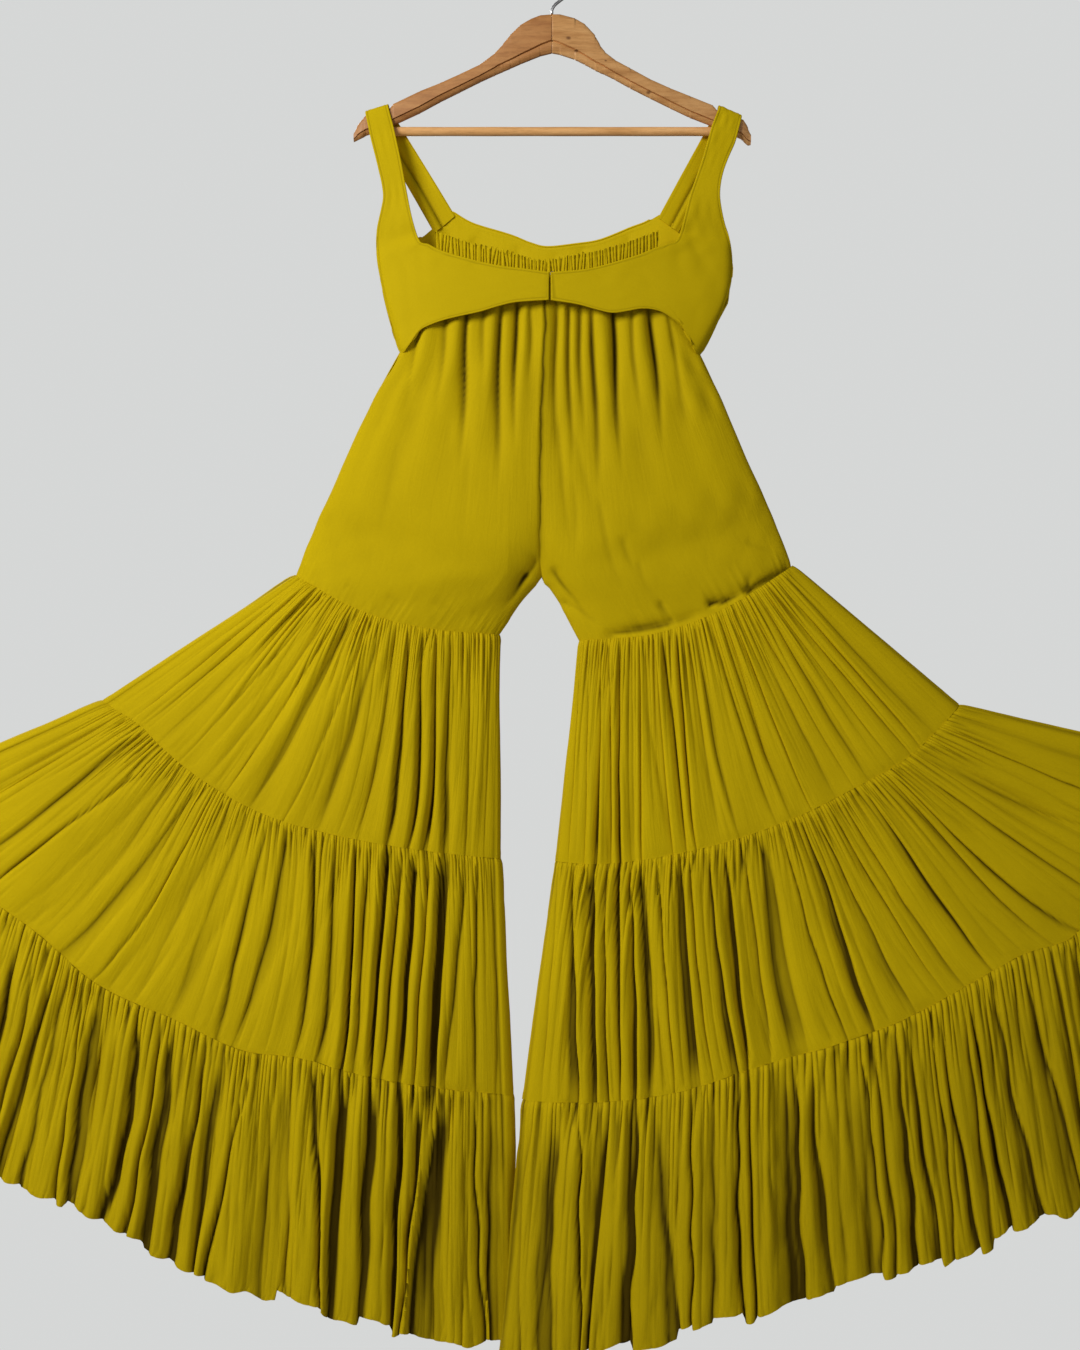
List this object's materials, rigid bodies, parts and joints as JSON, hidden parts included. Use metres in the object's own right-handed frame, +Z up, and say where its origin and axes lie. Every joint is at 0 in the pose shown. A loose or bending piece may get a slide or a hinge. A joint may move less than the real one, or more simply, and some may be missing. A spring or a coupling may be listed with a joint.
{
  "type": "sharara jumpsuit on a wooden hanger",
  "caption": "Sleeveless jumpsuit with wide tiered ruffle legs, seen from its back, hanging by its straps on a shaped wooden hanger with a trouser bar and a wire hook.",
  "frame": {"origin": "inside of the hanger hook's top, where it bears on a rail", "axes": "+Z up, +X to the right of a viewer who faces the garment's back, +Y from the garment's back to its front"},
  "size_m": [1.6513, 0.1208, 1.5556],
  "materials": {
    "crepe": "matt crepe, dyed through",
    "bodice_crepe": "matt crepe, dyed through",
    "ruched_elastic": "matt crepe gathered on elastic",
    "beech": "clear satin varnish",
    "steel_wire": "plain plated wire"
  },
  "bodies": {
    "root": {"back_bodice_left": "bodice_crepe", "back_bodice_right": "bodice_crepe", "front_strap_left": "bodice_crepe", "front_strap_right": "bodice_crepe", "front_bodice": "bodice_crepe", "back_waistband": "ruched_elastic", "yoke_back_left": "crepe", "yoke_back_right": "crepe", "yoke_front_left": "crepe", "yoke_front_right": "crepe", "tier_upper_left": "crepe", "tier_upper_right": "crepe", "tier_middle_left": "crepe", "tier_middle_right": "crepe", "tier_hem_left": "crepe", "tier_hem_right": "crepe", "hanger_arm_left": "beech", "hanger_arm_right": "beech", "trouser_bar": "beech", "hanger_hook": "steel_wire", "closure_hook": "steel_wire", "closure_eye": "steel_wire"}
  },
  "joints": []
}
